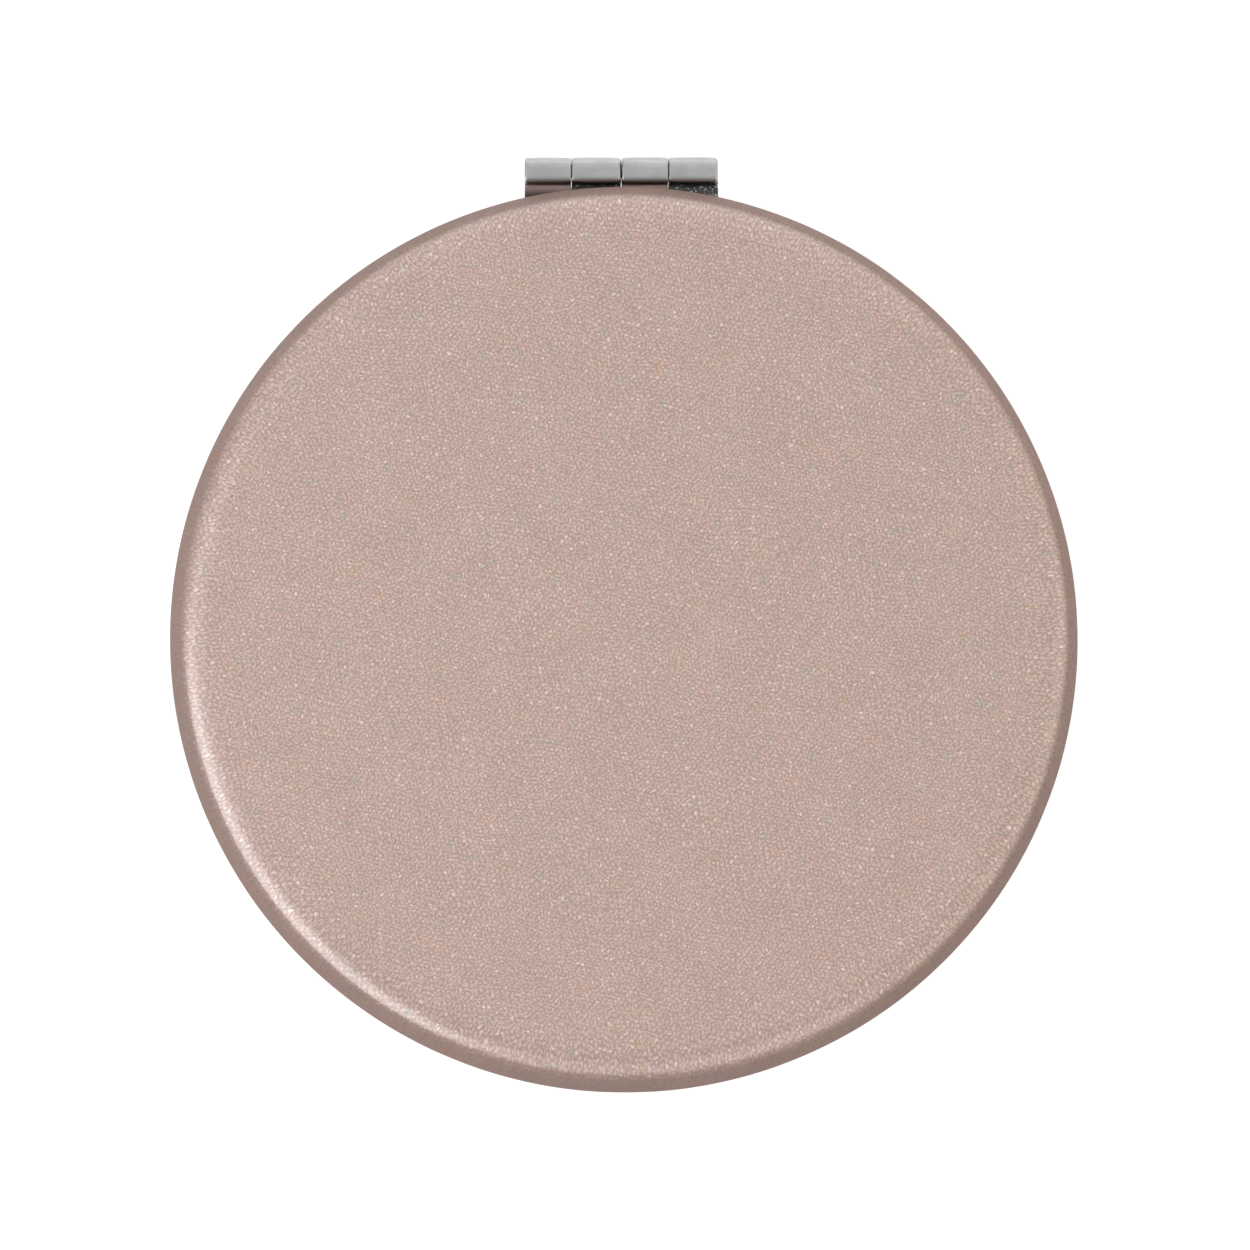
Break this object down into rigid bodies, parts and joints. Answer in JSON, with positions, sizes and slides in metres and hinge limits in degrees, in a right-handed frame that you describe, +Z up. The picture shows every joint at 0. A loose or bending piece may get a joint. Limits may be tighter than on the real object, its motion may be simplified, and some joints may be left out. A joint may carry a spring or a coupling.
{
  "type": "compact mirror",
  "caption": "Round closed pocket mirror in a padded leather-covered case: a lid and a base on a curled-knuckle pin hinge, a mirror framed in each half.",
  "frame": {"origin": "centre of the round case on the base's underside, the face it rests on", "axes": "+Z up through the closed case from base to lid, +Y towards the hinge at the back, +X to the right seen from the front"},
  "size_m": [0.07, 0.0725, 0.01],
  "materials": {
    "leather": "pebble-grained, pearly rose-champagne sheen",
    "padding_foam": "soft open foam",
    "shell_plastic": "moulded, matt",
    "frame_chrome": "bright plated",
    "mirror_glass": "polished, silvered behind",
    "mirror_tape": "foam tape",
    "magnet": "nickel plated, dull",
    "hinge_steel": "plated sheet, softly satin",
    "rivet_steel": "bright, flush heads",
    "pin_steel": "drawn wire"
  },
  "bodies": {
    "base": {"base_leather_cover": "leather", "base_foam_pad": "padding_foam", "base_shell": "shell_plastic", "base_frame_ring": "frame_chrome", "base_magnifying_mirror": "mirror_glass", "base_mirror_pad": "mirror_tape", "base_magnet": "magnet", "base_hinge_leaf": "hinge_steel", "base_hinge_rivets": "rivet_steel", "hinge_pin": "pin_steel"},
    "lid": {"lid_leather_cover": "leather", "lid_foam_pad": "padding_foam", "lid_shell": "shell_plastic", "lid_frame_ring": "frame_chrome", "lid_mirror": "mirror_glass", "lid_mirror_pad": "mirror_tape", "lid_magnet": "magnet", "lid_hinge_leaf": "hinge_steel", "lid_hinge_rivets": "rivet_steel"}
  },
  "joints": [
    {"name": "lid_hinge", "type": "hinge", "parent": "base", "child": "lid", "pos_m": [0, 0.03646, 0.005], "axis": [-1, 0, 0], "range_deg": [0, 180]}
  ]
}
